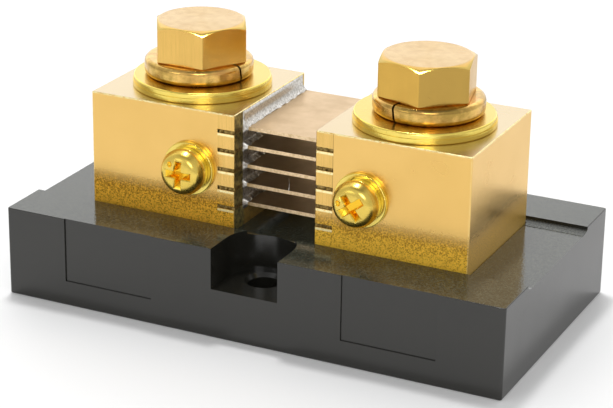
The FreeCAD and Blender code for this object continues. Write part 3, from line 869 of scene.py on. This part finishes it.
def make_floor():
    """Plain pale floor under the object."""
    shader = Shader("pale_floor")
    shader.set(Base_Color=(0.90, 0.90, 0.90, 1.0), Roughness=0.6)
    bm = bmesh.new()
    bmesh.ops.create_grid(bm, x_segments=2, y_segments=2, size=1500.0)
    floor = add_object("floor", bm, shader.material)
    floor.location.z = cad_low.z - 0.02 * MM


def make_light(name, place, target, size, radiance):
    """Soft rectangular light of a given radiance, aimed at a point."""
    data = bpy.data.lights.new(name, "AREA")
    data.shape = "RECTANGLE"
    data.size, data.size_y = size
    data.energy = radiance * math.pi * size[0] * size[1]
    light = bpy.data.objects.new(name, data)
    light.location = place
    light.rotation_euler = (Vector(target) - Vector(place)).to_track_quat("-Z", "Y").to_euler()
    light.visible_camera = False
    bpy.context.scene.collection.objects.link(light)


def make_surroundings():
    """White tent, brighter low down behind the object and dim straight overhead."""
    world = bpy.data.worlds.new("tent")
    world.use_nodes = True
    tent = NodeTree(world.node_tree)
    direction = tent.node("TexCoord").outputs["Generated"]
    toward_back = tent.along(direction, Vector(TENT_BRIGHTEST).normalized())
    glow = tent.ramp(toward_back, 0.45, 0.92, TENT_FRONT, TENT_BACK, interpolation_type="SMOOTHSTEP")
    roof = tent.ramp(tent.axis("Z", direction), 0.80, 0.94, 1.0, TENT_ROOF)
    background = world.node_tree.nodes["Background"]
    tent.put(background, "Color", (1.0, 1.0, 1.0, 1.0))
    tent.put(background, "Strength", tent.times(glow, roof))
    bpy.context.scene.world = world


def make_studio():
    """Tent, a small lamp overhead and two soft boxes in front."""
    make_surroundings()
    make_light("overhead", (-0.077, 0.092, 0.55), (0.0, 0.0, 0.03), (0.08, 0.08), 56.0)
    make_light("left_box", (-0.22, -0.46, 0.22), (0.0, 0.0, 0.02), (0.18, 0.14), 1.5)
    make_light("near_box", (0.21, -0.42, 0.30), (0.0, 0.0, 0.03), (0.20, 0.17), 4.6)


def make_camera():
    """Long-lens camera in front of the shunt, a little to the right and above."""
    data = bpy.data.cameras.new("camera")
    data.lens = 128.4
    data.sensor_width = 36.0
    data.clip_start = 0.01
    camera = bpy.data.objects.new("camera", data)
    place = Vector((143.86, -301.25, 146.60)) * MM
    target = Vector((-0.37, 0.0, 15.73)) * MM
    look = (target - place).to_track_quat("-Z", "Y").to_matrix().to_4x4()
    roll = Matrix.Rotation(math.radians(0.89), 4, "Z")
    camera.matrix_world = Matrix.Translation(place) @ look @ roll
    bpy.context.scene.collection.objects.link(camera)
    bpy.context.scene.camera = camera


# ---- the whole picture ---------------------------------------------------

plastic = moulded_plastic("base_plastic")
steel = plated_steel("fixing_steel")
alloy = plate_alloy("resistor_alloy")
# The flat washers' darker top is painted reflection of the dark spring washers above.
flat_metal = washer_metal(
    "washer_brass", (0.96, 0.76, 0.17), (0.86, 0.66, 0.14), 0.20, top_colour=(0.66, 0.47, 0.10),
)
spring_metal = washer_metal(
    "spring_bronze", (0.90, 0.60, 0.17), (0.70, 0.38, 0.11), 0.16, smudge=(0.36, 0.23, 0.05),
)
small_metal = washer_metal("screw_washer_brass", (0.90, 0.72, 0.18), (0.80, 0.62, 0.14), 0.18)
bolt_metals = {
    "left": bolt_brass("left_bolt_brass", (0.81, 0.51, 0.14), (0.77, 0.48, 0.13), flat_shade=0.0),
    # The right bolt's brass is a darker copy of the left's: painted shade.
    "right": bolt_brass("right_bolt_shaded_brass", (0.68, 0.41, 0.085), (0.64, 0.385, 0.08), flat_shade=0.45),
}
screw_metal = screw_brass("screw_brass")
tin = solder_metal("solder")
filling_metal = filling_solder("filling_solder")
# Colours of the painted reflection at each block's foot; the right block's is painted brighter.
painted_feet = {
    "left": {"painted_foot_dark": (0.34, 0.15, 0.005), "painted_foot_bright": (1.0, 0.57, 0.05), "painted_foot_metallic": 0.65},
    "right": {"painted_foot_dark": (0.42, 0.19, 0.005), "painted_foot_bright": (1.0, 0.61, 0.05), "painted_foot_metallic": 0.20},
}

use(plastic, "base")
for number in range(PLATE_COUNT):
    use(alloy, f"resistor_plate_{number + 1}")
for side_name, side_sign in SIDES.items():
    brass = BlockBrass(
        f"{side_name}_block_brass", side_sign, plate_heights(), side_name == "right", **painted_feet[side_name],
    )
    use(brass.material, f"{side_name}_block")
    use(steel, f"{side_name}_block_fixing_screws", f"{side_name}_block_fixing_washers")
    use(flat_metal, f"{side_name}_flat_washer")
    use(spring_metal, f"{side_name}_spring_washer")
    use(small_metal, f"{side_name}_sense_flat_washer", f"{side_name}_sense_spring_washer")
    make_bolt(side_name, bolt_metals[side_name])
    make_screw(side_name, screw_metal)
    make_solder_skin(side_name, side_sign, tin)
    make_fillings(side_name, side_sign, filling_metal)
make_solder_spike(tin)

make_floor()
make_studio()
make_camera()
bpy.context.scene.view_settings.view_transform = "Standard"
